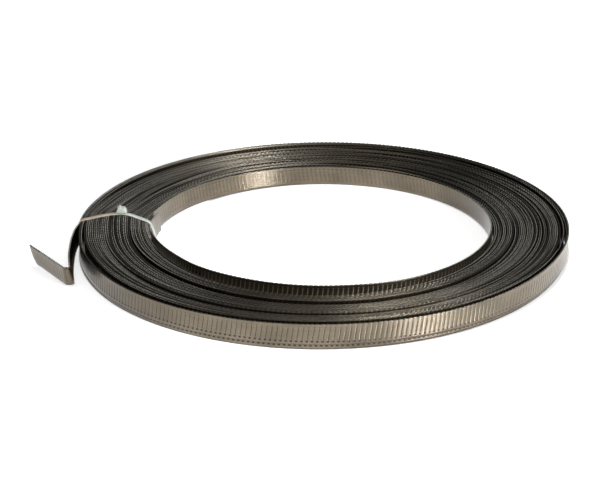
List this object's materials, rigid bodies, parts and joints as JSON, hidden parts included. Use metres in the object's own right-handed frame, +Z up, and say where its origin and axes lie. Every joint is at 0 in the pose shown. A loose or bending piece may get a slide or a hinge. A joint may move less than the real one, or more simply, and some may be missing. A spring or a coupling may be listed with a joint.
{
  "type": "clamp band coil",
  "caption": "Flat coil of ribbed steel clamp band, wound on edge and held by a cable tie, with its free outer end folded back.",
  "frame": {"origin": "on the coil's axis, in the plane that its turns rest on", "axes": "+Z up along the coil's axis; -Y is the side nearest the picture's viewer and +X is on their right; the folded free end stands out on the -X side"},
  "size_m": [0.3225, 0.2954, 0.0239],
  "materials": {
    "band_steel": "cold rolled and pressed with ribs, bare, satin",
    "tie_nylon": "moulded nylon in its natural milky white"
  },
  "bodies": {
    "root": {"clamp_band": "band_steel", "cable_tie": "tie_nylon"}
  },
  "joints": []
}
